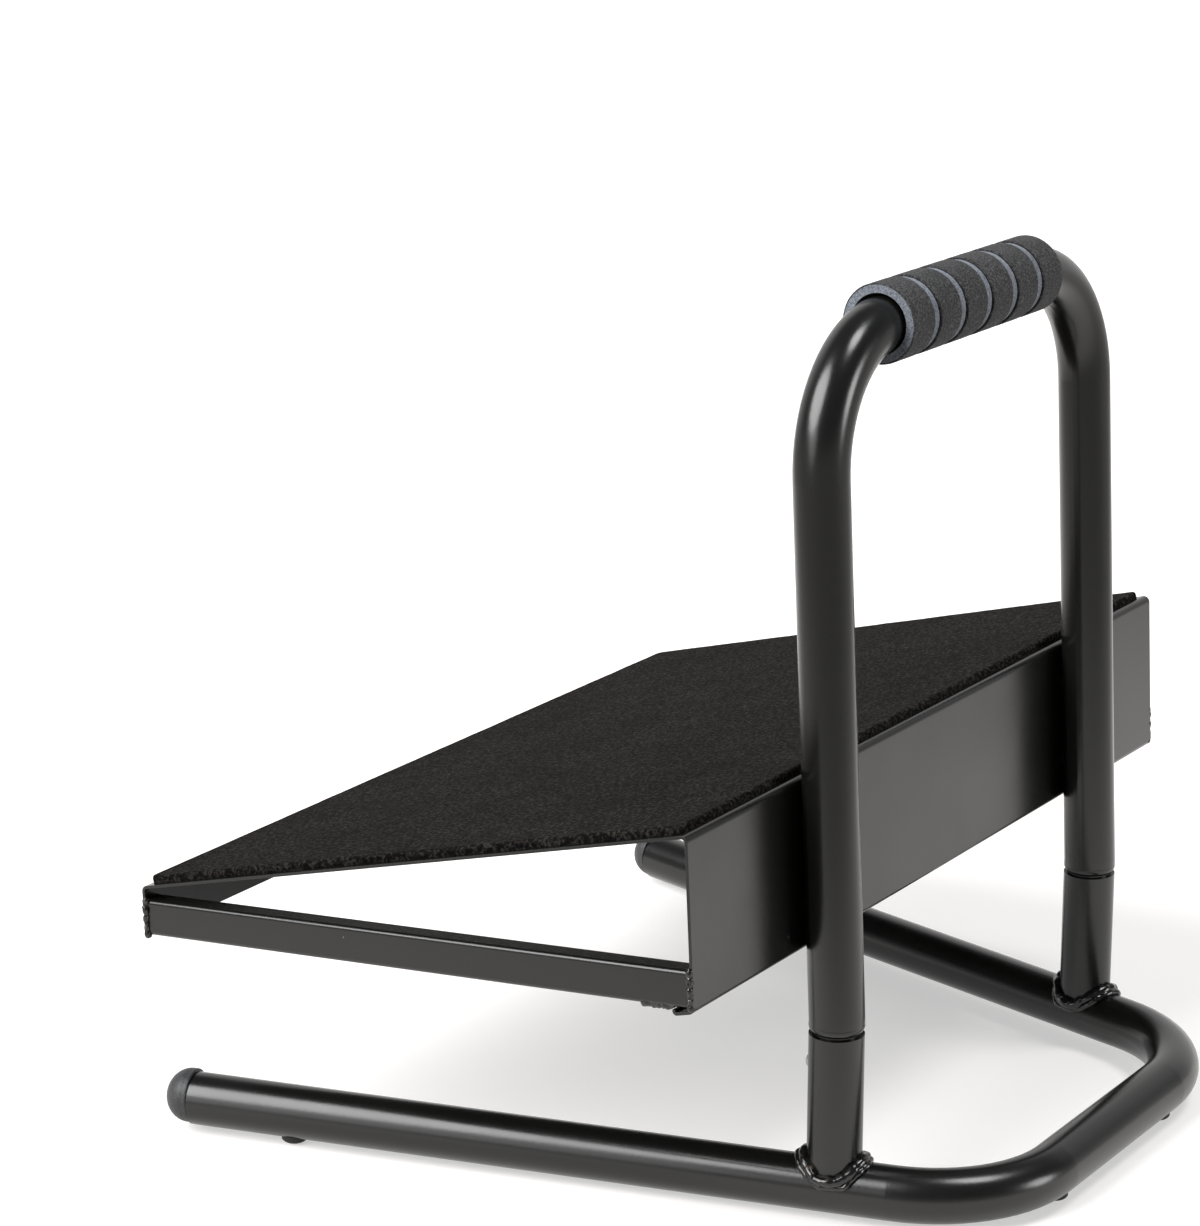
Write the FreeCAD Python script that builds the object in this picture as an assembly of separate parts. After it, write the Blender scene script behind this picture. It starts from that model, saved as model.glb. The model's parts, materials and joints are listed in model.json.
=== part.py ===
import FreeCAD, Part
import math
import os

from FreeCAD import Placement, Rotation, Vector

# An under-desk footrest: a bent floor tube with two sockets, and a lift-off frame
# with a carrying handle and a sloping sheet-steel plate topped by a soft mat.
# Millimetres, +Z up, -Y towards the toes and the handle, +Y towards the heels.
# The origin is on the floor, midway between the sides and between front and rear.

# Steel tube that the floor frame and the handle are both bent from
tube_d = 25.4
tube_wall = 1.5

# Floor frame
socket_spacing = 256.0
splay_deg = 14.6
front_bar_setback = 75.2
base_bend_r = 66.0
leg_length = 316.5
floor_gap = 2.3

# Sockets and their weld rings
socket_top = 89.5
saddle_clearance = 0.05
weld_ring_width = 4.2
weld_ring_height = 3.4

# Plastic end caps of the legs
cap_lip = 0.3
cap_collar = 2.5
cap_dome = 11.5
cap_plug_length = 18.0
cap_plug_clearance = 0.1
cap_plug_bore = 7.5

# Rubber feet pushed into holes under the tube
foot_d = 12.5
foot_tread_d = 8.0
foot_rim_height = 1.6
foot_stem_d = 5.0
foot_stem_length = 6.0
foot_barb_d = 7.0
foot_barb_length = 2.0
foot_hole_clearance = 0.1
front_foot_spacing = 110.0
rear_foot_inset = 51.0

# Handle frame
handle_axis_height = 402.0
handle_bend_r = 60.0
lean_deg = 2.9
kink_bend_r = 40.0
kink_rise = 2.0
spigot_d = 22.2
spigot_length = 45.0
shoulder_height = 3.8
shoulder_gap = 1.0

# Foam grip
grip_d = 36.6
grip_length = 144.0
grip_shift = -2.5
grip_groove_width = 5.7
grip_groove_depth = 1.3
grip_bore_clearance = 0.3
grip_mouth_width = 0.4
grip_mouth_depth = 2.0
grip_edge_r = 0.6
grip_groove_count = 5

# Bent footplate
plate_width = 454.0
plate_depth = 312.0
plate_front_height = 208.0
plate_pitch_deg = 15.3
sheet_t = 1.5
sheet_bend_r = 1.5
apron_height = 80.1
toe_flange_depth = 11.0
toe_flange_droop = 2.6
toe_lip_height = 3.0
toe_lip_bend_r = 0.5
heel_lip_height = 24.0

# Rectangular side struts and their weld beads
strut_width = 12.0
strut_height = 17.3
strut_wall = 1.2
strut_corner_r = 2.0
strut_toe_gap = 0.55
bead_r = 1.7
bead_length = 17.0
toe_bead_length = 14.0
toe_bead_inset = 2.5

# Soft mat
mat_t = 4.0
mat_side_margin = 3.0
mat_toe_margin = 4.0
mat_heel_margin = 2.5
mat_corner_r = 4.0
mat_edge_r = 1.2

# Screws that hold the apron to the uprights, with washers and rivet nuts
screw_d = 6.0
screw_length = 14.0
screw_head_d = 10.5
screw_head_height = 3.3
screw_key_d = 4.6
screw_key_depth = 2.0
screw_edge_margin = 20.0
screw_hole_clearance = 0.3
washer_d = 14.0
washer_t = 1.2
nut_d = 9.0
nut_length = 11.0
nut_clearance = 0.05
nut_sunk = 0.3

# Snap buttons and the leaf springs behind them
button_d = 6.4
button_drop = 14.9
button_stand_out = 1.2
button_crown = 1.4
button_hole_clearance = 0.1
button_collar_d = 9.0
button_collar_t = 0.9
button_collar_gap = 0.15
spring_t = 0.7
spring_width = 7.0
spring_length = 30.0
spring_tip = 7.0
spring_gap = 0.1
spring_apex_width = 3.0

# One overrun that serves every cut
overrun = 5.0

# How nearly an edge must follow a direction to count as running along it
parallel_share = 0.96

# Sizes worked out from the driving dimensions
tube_r = tube_d / 2
tube_inner_r = tube_r - tube_wall
spigot_r = spigot_d / 2
spigot_inner_r = spigot_r - tube_wall
base_axis_z = floor_gap + tube_r
side_x = socket_spacing / 2
splay = math.radians(splay_deg)
lean = math.radians(lean_deg)
pitch = math.radians(plate_pitch_deg)
cap_r = tube_r + cap_lip
cap_start = leg_length + cap_collar
cap_swing = math.hypot(cap_dome * math.cos(splay), cap_r * math.sin(splay))
front_reach = front_bar_setback + tube_r
rear_reach = cap_start * math.cos(splay) + cap_swing
socket_y = (front_reach - rear_reach) / 2
shoulder_base = socket_top + shoulder_gap
shoulder_top = shoulder_base + shoulder_height
kink_z = shoulder_top + kink_rise
handle_y = socket_y + (handle_axis_height - kink_z) * math.tan(lean)
button_z = socket_top - button_drop
SIDES = {"left": -1, "right": 1}

# Directions: up along the leaning frame, in through the apron, back down the plate,
# and square out of the plate
frame_up = Vector(0, math.sin(lean), math.cos(lean))
apron_in = Vector(0, math.cos(lean), -math.sin(lean))
plate_back = Vector(0, math.cos(pitch), -math.sin(pitch))
plate_out = Vector(0, math.sin(pitch), math.cos(pitch))
X_AXIS = Vector(1, 0, 0)
Y_AXIS = Vector(0, 1, 0)
Z_AXIS = Vector(0, 0, 1)


def leg_direction(side):
    """Unit vector from a socket along its leg towards the rear."""
    return Vector(side * math.sin(splay), math.cos(splay), 0)


def socket_point(side, z):
    """Point on a socket's axis at height z."""
    return Vector(side * side_x, socket_y, z)


def rounded_path(points, radii):
    """Wire through points whose inner corners are rounded with the given radii."""
    edges = []
    start = points[0]
    for before, corner, after, radius in zip(points, points[1:], points[2:], radii):
        into = (before - corner).normalize()
        out = (after - corner).normalize()
        half = into.getAngle(out) / 2
        setback = radius / math.tan(half)
        arc_start = corner + into * setback
        arc_end = corner + out * setback
        arc_mid = corner + (into + out).normalize() * (radius / math.sin(half) - radius)
        edges.append(Part.makeLine(start, arc_start))
        edges.append(Part.Arc(arc_start, arc_mid, arc_end).toShape())
        start = arc_end
    edges.append(Part.makeLine(start, points[-1]))
    return Part.Wire(edges)


def swept_rod(path, radius):
    """Round bar of the given radius along a smooth wire."""
    start = path.Edges[0].valueAt(path.Edges[0].FirstParameter)
    heading = path.Edges[0].tangentAt(path.Edges[0].FirstParameter)
    profile = Part.Wire([Part.makeCircle(radius, start, heading)])
    return path.makePipeShell([profile], True, False)


def swept_tube(path, outer_r, inner_r):
    """Hollow tube along a smooth wire, open at both ends."""
    return swept_rod(path, outer_r).cut(swept_rod(path, inner_r))


def ring(outer_r, inner_r, length, base, direction):
    """Straight hollow tube from a base point along a direction."""
    outer = Part.makeCylinder(outer_r, length, base, direction)
    start = base - direction * overrun
    bore = Part.makeCylinder(inner_r, length + overrun + overrun, start, direction)
    return outer.cut(bore)


def turned(edges):
    """Solid of revolution about the local Z axis, from edges in the local XZ plane."""
    face = Part.Face(Part.Wire(Part.sortEdges(edges)[0]))
    return face.revolve(Vector(), Z_AXIS, 360)


def arc_edge(start, middle, end):
    """Arc through three points, as a spline so that its turned surface stops at its ends."""
    return Part.Arc(start, middle, end).toBSpline().toShape()


def polyline(points):
    """Line edges through local points given as (radius, height)."""
    places = [Vector(r, 0, h) for r, h in points]
    return [Part.makeLine(a, b) for a, b in zip(places, places[1:])]


def runs_along(edge, direction):
    """True where an edge starts out parallel to a unit direction, either way."""
    return abs(edge.tangentAt(edge.FirstParameter).dot(direction)) > parallel_share


def aimed(shape, place, direction):
    """Shape turned so that its local Z runs along direction, and moved to place."""
    moved = shape.copy()
    moved.Placement = Placement(place, Rotation(Z_AXIS, direction))
    return moved


# Floor frame
def leg_point(side, distance):
    """Point on a leg's axis at a distance behind its socket."""
    return socket_point(side, base_axis_z) + leg_direction(side) * distance


def base_corner(side):
    """Where a leg's axis would meet the front bar's axis."""
    return leg_point(side, -front_bar_setback / math.cos(splay))


def foot_places():
    """Centre of each rubber foot on the floor, by node name."""
    places = {}
    for name, side in SIDES.items():
        rear = leg_point(side, leg_length - rear_foot_inset)
        front = Vector(side * front_foot_spacing / 2, socket_y - front_bar_setback, 0)
        places["foot_front_" + name] = front
        places["foot_rear_" + name] = Vector(rear.x, rear.y, 0)
    return places


def base_path():
    """Axis of the floor tube, from one leg's end round the front to the other's."""
    left = SIDES["left"]
    right = SIDES["right"]
    points = [
        leg_point(left, leg_length),
        base_corner(left),
        base_corner(right),
        leg_point(right, leg_length),
    ]
    return rounded_path(points, [base_bend_r, base_bend_r])


def make_base_tube():
    tube = swept_tube(base_path(), tube_r, tube_inner_r)
    hole_r = foot_stem_d / 2 + foot_hole_clearance
    for place in foot_places().values():
        tube = tube.cut(Part.makeCylinder(hole_r, base_axis_z, place, Z_AXIS))
    return tube


def leg_rod(side, radius):
    """Round bar on a leg's axis, long enough to saddle a socket on."""
    length = socket_top
    start = leg_point(side, -length / 2)
    return Part.makeCylinder(radius, length, start, leg_direction(side))


def button_hole(side, hole_r):
    """Bar that drills a button's hole through the rear of a socket or spigot."""
    return Part.makeCylinder(hole_r, tube_d, socket_point(side, button_z), leg_direction(side))


def make_socket(side):
    length = socket_top - base_axis_z
    socket = ring(tube_r, tube_inner_r, length, socket_point(side, base_axis_z), Z_AXIS)
    socket = socket.cut(leg_rod(side, tube_r + saddle_clearance))
    return socket.cut(button_hole(side, button_d / 2 + button_hole_clearance))


def make_socket_weld(side):
    """Bead that follows the saddle between a socket and its leg."""
    height = socket_top - base_axis_z
    low = socket_point(side, base_axis_z)
    reach = Part.makeCylinder(tube_r + weld_ring_width, height, low, Z_AXIS)
    bead = reach.common(leg_rod(side, tube_r + weld_ring_height))
    bead = bead.cut(leg_rod(side, tube_r))
    return bead.cut(Part.makeCylinder(tube_r, height, low, Z_AXIS))


def make_end_cap(side):
    """Domed plastic cap with a hollow plug that grips inside the tube."""
    plug_r = tube_inner_r - cap_plug_clearance
    bore_r = cap_plug_bore
    outline = [
        (0, 0),
        (bore_r, 0),
        (bore_r, -cap_plug_length),
        (plug_r, -cap_plug_length),
        (plug_r, 0),
        (cap_r, 0),
        (cap_r, cap_collar),
    ]
    edges = polyline(outline)
    tip = Vector(0, 0, cap_collar + cap_dome)
    crown = Part.Ellipse(Vector(cap_r, 0, cap_collar), tip, Vector(0, 0, cap_collar))
    edges.append(Part.ArcOfEllipse(crown, 0, math.pi / 2).toBSpline().toShape())
    edges.append(Part.makeLine(tip, Vector()))
    return aimed(turned(edges), leg_point(side, leg_length), leg_direction(side))


def make_foot(place, tube_direction):
    """Shallow rubber foot, hollowed to the tube above it, with a barbed stem."""
    foot_r = foot_d / 2
    tread_r = foot_tread_d / 2
    rim_arc = arc_edge(
        Vector(tread_r, 0, 0),
        Vector((foot_r + tread_r) / 2, 0, foot_rim_height / 4),
        Vector(foot_r, 0, foot_rim_height),
    )
    top = [(foot_r, foot_rim_height), (foot_r, base_axis_z), (0, base_axis_z), (0, 0), (tread_r, 0)]
    head = turned(polyline(top) + [rim_arc])
    axis_start = Vector(0, 0, base_axis_z) - tube_direction * foot_d
    head = head.cut(Part.makeCylinder(tube_r, foot_d + foot_d, axis_start, tube_direction))
    low = floor_gap
    barb_z = floor_gap + foot_stem_length - foot_barb_length
    stem_r = foot_stem_d / 2
    stem = Part.makeCylinder(stem_r, foot_stem_length, Vector(0, 0, low - foot_rim_height), Z_AXIS)
    barb = Part.makeCone(foot_barb_d / 2, stem_r / 2, foot_barb_length, Vector(0, 0, barb_z), Z_AXIS)
    foot = head.fuse(stem.fuse(barb)).removeSplitter()
    foot.translate(place)
    return foot


# Handle frame
def handle_path():
    """Axis of the handle tube, from one shoulder over the top to the other."""
    points = []
    for side, heights in ((-1, (shoulder_top, kink_z)), (1, (kink_z, shoulder_top))):
        low = [socket_point(side, z) for z in heights]
        high = Vector(side * side_x, handle_y, handle_axis_height)
        points.extend(low + [high] if side < 0 else [high] + low)
    radii = [kink_bend_r, handle_bend_r, handle_bend_r, kink_bend_r]
    return rounded_path(points, radii)


def make_spigot(side):
    """Reduced tube end that drops into a socket, with a rounded shoulder above."""
    swell = (tube_r - spigot_r) * math.sin(math.pi / 4)
    rise = shoulder_height * (1 - math.cos(math.pi / 4))
    outer_arc = arc_edge(
        Vector(spigot_r, 0, shoulder_base),
        Vector(spigot_r + swell, 0, shoulder_base + rise),
        Vector(tube_r, 0, shoulder_top),
    )
    low = shoulder_base - spigot_length
    outline = [
        (tube_r, shoulder_top),
        (tube_inner_r, shoulder_top),
        (spigot_inner_r, shoulder_base),
        (spigot_inner_r, low),
        (spigot_r, low),
        (spigot_r, shoulder_base),
    ]
    spigot = turned(polyline(outline) + [outer_arc])
    spigot.translate(socket_point(side, 0))
    return spigot.cut(button_hole(side, button_d / 2 + button_hole_clearance))


def apron_point(x, drop):
    """Point on the apron's front face, a distance below its top corner."""
    top_y = socket_y + (plate_front_height - kink_z) * math.tan(lean) + tube_r / math.cos(lean)
    return Vector(x, top_y, plate_front_height) - frame_up * drop


def screw_points():
    """Where each screw's axis passes through the apron's front face."""
    drops = (screw_edge_margin, apron_height - screw_edge_margin)
    return [apron_point(side * side_x, drop) for side in SIDES.values() for drop in drops]


def make_handle_tube():
    tube = swept_tube(handle_path(), tube_r, tube_inner_r)
    for side in SIDES.values():
        tube = tube.fuse(make_spigot(side))
    for point in screw_points():
        start = point - apron_in * nut_length
        tube = tube.cut(Part.makeCylinder(nut_d / 2 + nut_clearance, nut_length, start, apron_in))
    return tube.removeSplitter()


def make_foam_grip():
    """Foam sleeve with ring grooves and a small flare at each mouth."""
    outer_r = grip_d / 2
    bore_r = tube_r + grip_bore_clearance
    floor_r = outer_r - grip_groove_depth
    ribs = grip_groove_count + 1
    rib_width = (grip_length - grip_groove_width * grip_groove_count) / ribs
    half = grip_length / 2
    outline = [
        (bore_r + grip_mouth_width, -half),
        (outer_r - grip_edge_r, -half),
        (outer_r, grip_edge_r - half),
    ]
    for index in range(grip_groove_count):
        groove = index * (rib_width + grip_groove_width) + rib_width - half
        outline += [(outer_r, groove), (floor_r, groove)]
        outline += [(floor_r, groove + grip_groove_width), (outer_r, groove + grip_groove_width)]
    outline += [
        (outer_r, half - grip_edge_r),
        (outer_r - grip_edge_r, half),
        (bore_r + grip_mouth_width, half),
        (bore_r, half - grip_mouth_depth),
        (bore_r, grip_mouth_depth - half),
        (bore_r + grip_mouth_width, -half),
    ]
    return aimed(turned(polyline(outline)), Vector(grip_shift, handle_y, handle_axis_height), X_AXIS)


# Footplate: one sheet bent five times
def sheet_corners():
    """Outer corners of the bent sheet in the YZ plane, from the toe flange's lip to the heel lip."""
    top = apron_point(0, 0)
    bottom = apron_point(0, apron_height)
    heel = top + plate_back * plate_depth
    flange_tip = bottom + apron_in * toe_flange_depth - frame_up * toe_flange_droop
    return [
        flange_tip + frame_up * toe_lip_height,
        flange_tip,
        bottom,
        top,
        heel,
        heel - frame_up * heel_lip_height,
    ]


def inner_corners(corners, thickness):
    """The same corners on the sheet's inner side, mitred at each bend."""
    headings = [(b - a).normalize() for a, b in zip(corners, corners[1:])]
    inward = [X_AXIS.cross(heading) for heading in headings]
    inner = [corners[0] + inward[0] * thickness]
    for corner, first, second in zip(corners[1:], inward, inward[1:]):
        mitre = (first + second).normalize()
        inner.append(corner + mitre * (thickness / mitre.dot(first)))
    inner.append(corners[-1] + inward[-1] * thickness)
    return inner


def make_footplate():
    outer = sheet_corners()
    inner = inner_corners(outer, -sheet_t)
    radii = [toe_lip_bend_r] + [sheet_bend_r] * (len(outer) - 3)
    outer_wire = rounded_path(outer, [radius + sheet_t for radius in radii])
    inner_wire = rounded_path(inner, radii)
    ends = [Part.makeLine(outer[0], inner[0]), Part.makeLine(outer[-1], inner[-1])]
    loop = Part.sortEdges(outer_wire.Edges + inner_wire.Edges + ends)[0]
    plate = Part.Face(Part.Wire(loop)).extrude(X_AXIS * plate_width)
    plate.translate(-X_AXIS * plate_width / 2)
    for point in screw_points():
        start = point - apron_in * overrun
        hole_r = screw_d / 2 + screw_hole_clearance
        plate = plate.cut(Part.makeCylinder(hole_r, overrun + overrun, start, apron_in))
    return plate


def line_meet(point, heading, other, other_heading):
    """Where two lines of the YZ plane cross."""
    normal = X_AXIS.cross(other_heading)
    return point + heading * ((other - point).dot(normal) / heading.dot(normal))


def strut_corners(inset):
    """Corners of a strut seen from the side, drawn in from its surface by inset."""
    inner = inner_corners(sheet_corners(), -sheet_t)
    toe_low = inner[2] + frame_up * strut_toe_gap
    heel_low = line_meet(inner[-1], -frame_up, sheet_corners()[-1], apron_in)
    run = (heel_low - toe_low).normalize()
    rise = X_AXIS.cross(run)
    low = toe_low + rise * inset
    high = toe_low + rise * (strut_height - inset)
    ends = ((toe_low, low), (heel_low, low), (heel_low, high), (toe_low, high))
    return [line_meet(through, run, end, frame_up) for end, through in ends]


def make_strut(side):
    """Rectangular tube between the apron and the heel lip, flush with the plate's edge."""
    outline = strut_corners(0)
    body = Part.Face(Part.makePolygon(outline + outline[:1])).extrude(X_AXIS * strut_width)
    run = (outline[1] - outline[0]).normalize()
    long_edges = [edge for edge in body.Edges if runs_along(edge, run)]
    body = body.makeFillet(strut_corner_r, long_edges)
    low_toe, low_heel, high_heel, high_toe = strut_corners(strut_wall)
    bore_outline = [
        low_toe - run * overrun,
        low_heel + run * overrun,
        high_heel + run * overrun,
        high_toe - run * overrun,
    ]
    bore_width = strut_width - strut_wall - strut_wall
    bore = Part.Face(Part.makePolygon(bore_outline + bore_outline[:1])).extrude(X_AXIS * bore_width)
    bore.translate(X_AXIS * strut_wall)
    strut = body.cut(bore)
    edge_x = side * plate_width / 2
    strut.translate(Vector(edge_x if side < 0 else edge_x - strut_width, 0, 0))
    return strut


def make_strut_welds(side, plate, strut):
    """Beads on a strut's outer side at the lip and the apron, and one beneath."""
    toe_low, heel_low, heel_high, toe_high = strut_corners(0)
    edge_x = side * plate_width / 2
    beads = []
    for low, high in ((toe_low, toe_high), (heel_low, heel_high)):
        middle = (low + high) / 2 + X_AXIS * edge_x
        start = middle - frame_up * (bead_length / 2)
        beads.append(Part.makeCylinder(bead_r, bead_length, start, frame_up))
    run = (heel_low - toe_low).normalize()
    under_x = edge_x - side * toe_bead_inset
    under = toe_low + X_AXIS * under_x + run * toe_flange_depth
    beads.append(Part.makeCylinder(bead_r, toe_bead_length, under, run))
    shown = [bead.cut(strut).cut(plate) for bead in beads]
    return [max(bead.Solids, key=lambda solid: solid.Volume) for bead in shown]


def make_mat():
    """Soft pad on top of the plate, with rounded corners and a softened top edge."""
    width = plate_width - mat_side_margin - mat_side_margin
    depth = plate_depth - mat_toe_margin - mat_heel_margin
    mat = Part.makeBox(width, depth, mat_t, Vector(-width / 2, mat_toe_margin, 0))
    upright = [edge for edge in mat.Edges if runs_along(edge, Z_AXIS)]
    mat = mat.makeFillet(mat_corner_r, upright)
    top = [edge for edge in mat.Edges if edge.BoundBox.ZMin > mat_t / 2]
    mat = mat.makeFillet(mat_edge_r, top)
    mat.Placement = Placement(apron_point(0, 0), Rotation(X_AXIS, -plate_pitch_deg))
    return mat


# Fasteners: each is drawn along local Z, which points in through the apron
def make_screw():
    """Button-head screw: the head is above local zero and the shank below."""
    head_r = screw_head_d / 2
    crown = arc_edge(
        Vector(head_r, 0, 0),
        Vector((head_r + head_r + screw_key_d / 2) / 3, 0, screw_head_height * 2 / 3),
        Vector(screw_key_d / 2, 0, screw_head_height),
    )
    outline = [
        (screw_key_d / 2, screw_head_height),
        (0, screw_head_height),
        (0, -screw_length),
        (screw_d / 2, -screw_length),
        (screw_d / 2, 0),
        (head_r, 0),
    ]
    screw = turned(polyline(outline) + [crown])
    floor = screw_head_height - screw_key_depth
    key_r = screw_key_d / 2
    angles = [index * math.pi / 3 for index in range(6)]
    hexagon = [Vector(key_r * math.cos(angle), key_r * math.sin(angle), floor) for angle in angles]
    hexagon.append(hexagon[0])
    key = Part.Face(Part.makePolygon(hexagon)).extrude(Z_AXIS * screw_head_height)
    return screw.cut(key)


def make_fasteners():
    """The screws, washers and rivet nuts, each kind as a group of solids."""
    screws = []
    washers = []
    nuts = []
    for point in screw_points():
        rear_face = point + apron_in * sheet_t
        hole_r = screw_d / 2 + screw_hole_clearance
        washers.append(ring(washer_d / 2, hole_r, washer_t, rear_face, apron_in))
        screws.append(aimed(make_screw(), rear_face + apron_in * washer_t, apron_in))
        nut_start = point - apron_in * (nut_length + nut_sunk)
        nuts.append(ring(nut_d / 2, screw_d / 2 + nut_clearance, nut_length, nut_start, apron_in))
    return Part.makeCompound(screws), Part.makeCompound(washers), Part.makeCompound(nuts)


# Snap buttons: drawn along local Z, which points out through the tube wall
def button_collar_face():
    """How far the collar's outer face can lie from the tube's axis."""
    return math.sqrt(spigot_inner_r ** 2 - (button_collar_d / 2) ** 2) - button_collar_gap


def make_snap_button(side):
    """Domed steel button with a collar that stops it inside the spigot."""
    tip = tube_r + button_stand_out
    outer = button_collar_face()
    inner = outer - button_collar_t
    r = button_d / 2
    crown = arc_edge(
        Vector(r, 0, tip - button_crown),
        Vector(r * math.sin(math.pi / 4), 0, tip - button_crown * (1 - math.cos(math.pi / 4))),
        Vector(0, 0, tip),
    )
    outline = [
        (0, tip),
        (0, inner),
        (button_collar_d / 2, inner),
        (button_collar_d / 2, outer),
        (r, outer),
        (r, tip - button_crown),
    ]
    button = turned(polyline(outline) + [crown])
    return aimed(button, socket_point(side, button_z), leg_direction(side))


def make_snap_spring(side):
    """V-shaped leaf: one arm behind the button, the other on the far wall."""
    front = button_collar_face() - button_collar_t - spring_gap
    lateral = spring_width / 2
    rear = -math.sqrt(spigot_inner_r ** 2 - lateral ** 2) + spring_gap
    apex = spring_apex_width / 2
    high = spring_tip
    low = spring_tip - spring_length
    outline = [
        (front, high),
        (front, -button_d / 2),
        (apex, low),
        (-apex, low),
        (rear, -button_d / 2),
        (rear, high),
        (rear + spring_t, high),
        (rear + spring_t, -button_d / 2),
        (spring_t - apex, low + spring_t),
        (apex - spring_t, low + spring_t),
        (front - spring_t, -button_d / 2),
        (front - spring_t, high),
        (front, high),
    ]
    places = [Vector(r, 0, h) for r, h in outline]
    leaf = Part.Face(Part.makePolygon(places)).extrude(Y_AXIS * spring_width)
    leaf.translate(-Y_AXIS * lateral)
    leaf.Placement = Placement(socket_point(side, button_z), Rotation(X_AXIS, leg_direction(side))) * leaf.Placement
    return leaf


# All nodes by name
def make_nodes():
    nodes = {"base_tube": make_base_tube()}
    left_leg = leg_direction(SIDES["left"])
    right_leg = leg_direction(SIDES["right"])
    runs = {"foot_rear_left": left_leg, "foot_rear_right": right_leg}
    for name, place in foot_places().items():
        nodes[name] = make_foot(place, runs.get(name, X_AXIS))
    nodes["handle_tube"] = make_handle_tube()
    nodes["foam_grip"] = make_foam_grip()
    nodes["footplate"] = make_footplate()
    nodes["mat"] = make_mat()
    nodes["plate_screws"], nodes["plate_washers"], nodes["rivet_nuts"] = make_fasteners()
    for name, side in SIDES.items():
        nodes["socket_" + name] = make_socket(side)
        nodes["socket_weld_" + name] = make_socket_weld(side)
        nodes["end_cap_" + name] = make_end_cap(side)
        strut = make_strut(side)
        nodes["strut_" + name] = strut
        nodes["strut_welds_" + name] = Part.makeCompound(make_strut_welds(side, nodes["footplate"], strut))
        nodes["snap_button_" + name] = make_snap_button(side)
        nodes["snap_spring_" + name] = make_snap_spring(side)
    return nodes


os.makedirs("parts", exist_ok=True)
for node_name, node_shape in make_nodes().items():
    node_shape.exportStep("parts/" + node_name + ".step")
    solids = node_shape.Solids
    volume = sum(solid.Volume for solid in solids) / 1000
    valid = all(solid.isValid() for solid in solids)
    print(f"{node_name}: {len(solids)} solid, {volume:.2f} cm3, valid {valid}")
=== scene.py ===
# %% [markdown]
# # An under-desk footrest, finished in Blender
#
# The footrest is a bent steel floor frame with two sockets, and a lift-off frame with a foam
# grip and a sloping sheet-steel plate under a soft mat. The construction arrives as exact
# solids, so this lesson is about what a workshop adds: deburred edges, powder coat, lumpy
# welds, cut foam, moulded plastic, and the light that shows them.

# %% Load the frame
import json
import math

import bmesh
import bpy
from mathutils import Matrix, Vector, noise


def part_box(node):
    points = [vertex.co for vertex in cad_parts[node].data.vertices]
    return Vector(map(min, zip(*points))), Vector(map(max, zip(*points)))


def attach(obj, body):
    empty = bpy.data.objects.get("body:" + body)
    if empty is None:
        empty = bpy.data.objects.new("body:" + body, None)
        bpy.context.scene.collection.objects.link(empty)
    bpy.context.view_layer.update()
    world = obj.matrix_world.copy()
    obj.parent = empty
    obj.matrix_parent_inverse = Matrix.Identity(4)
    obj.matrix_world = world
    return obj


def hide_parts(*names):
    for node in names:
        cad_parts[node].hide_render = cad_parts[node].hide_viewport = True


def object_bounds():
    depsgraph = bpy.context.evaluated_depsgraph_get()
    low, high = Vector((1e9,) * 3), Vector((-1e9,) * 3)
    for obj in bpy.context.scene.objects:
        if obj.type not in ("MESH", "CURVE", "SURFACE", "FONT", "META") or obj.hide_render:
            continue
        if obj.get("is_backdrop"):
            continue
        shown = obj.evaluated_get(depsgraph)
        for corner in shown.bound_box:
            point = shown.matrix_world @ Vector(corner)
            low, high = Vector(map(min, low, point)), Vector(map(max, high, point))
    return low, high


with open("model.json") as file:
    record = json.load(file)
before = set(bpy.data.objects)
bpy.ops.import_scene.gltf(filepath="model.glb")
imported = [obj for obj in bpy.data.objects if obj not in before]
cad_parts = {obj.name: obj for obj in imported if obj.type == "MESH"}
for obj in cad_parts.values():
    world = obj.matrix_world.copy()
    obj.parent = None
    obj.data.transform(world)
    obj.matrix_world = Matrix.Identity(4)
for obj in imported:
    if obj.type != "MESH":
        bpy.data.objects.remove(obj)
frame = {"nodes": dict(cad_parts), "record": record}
cad_low, cad_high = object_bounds()
NODES = frame["nodes"]
SIDES = {"left": -1, "right": 1}
MM = 0.001
print("solids:", len(NODES), "box:", [round(v / MM) for v in cad_high - cad_low])

# %% [markdown]
# ## Sizes that several pieces share
#
# Places come from the solids wherever they can, because a box can be asked for. Only the few
# sizes that a box doesn't tell are written again here, such as a tube's diameter and the
# angles of the legs and of the plate.

# %% Shared sizes
TUBE_R = 12.7 * MM
TUBE_WALL = 1.5 * MM
LEG_SPLAY = math.radians(14.6)
FRAME_LEAN = math.radians(2.9)
plate_mount = next(m for m in frame["record"]["mounts"] if m["name"] == "mat_top")
PLATE_OUT = Vector(plate_mount["axis"]).normalized()
PLATE_BACK = Vector((0, PLATE_OUT.z, -PLATE_OUT.y))
FRAME_UP = Vector((0, math.sin(FRAME_LEAN), math.cos(FRAME_LEAN)))
APRON_IN = Vector((0, math.cos(FRAME_LEAN), -math.sin(FRAME_LEAN)))
X_AXIS = Vector((1, 0, 0))
print("plate slope:", round(math.degrees(math.asin(PLATE_OUT.y)), 1), "degrees")


def socket_foot(side_name):
    """Where a socket's axis meets the axis of the leg under it."""
    low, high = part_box("socket_" + side_name)
    middle = (low + high) / 2
    return Vector((middle.x, middle.y, low.z))


def leg_direction(side_name):
    """Level direction from a socket along its leg, towards the heels."""
    return Vector((SIDES[side_name] * math.sin(LEG_SPLAY), math.cos(LEG_SPLAY), 0))


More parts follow.
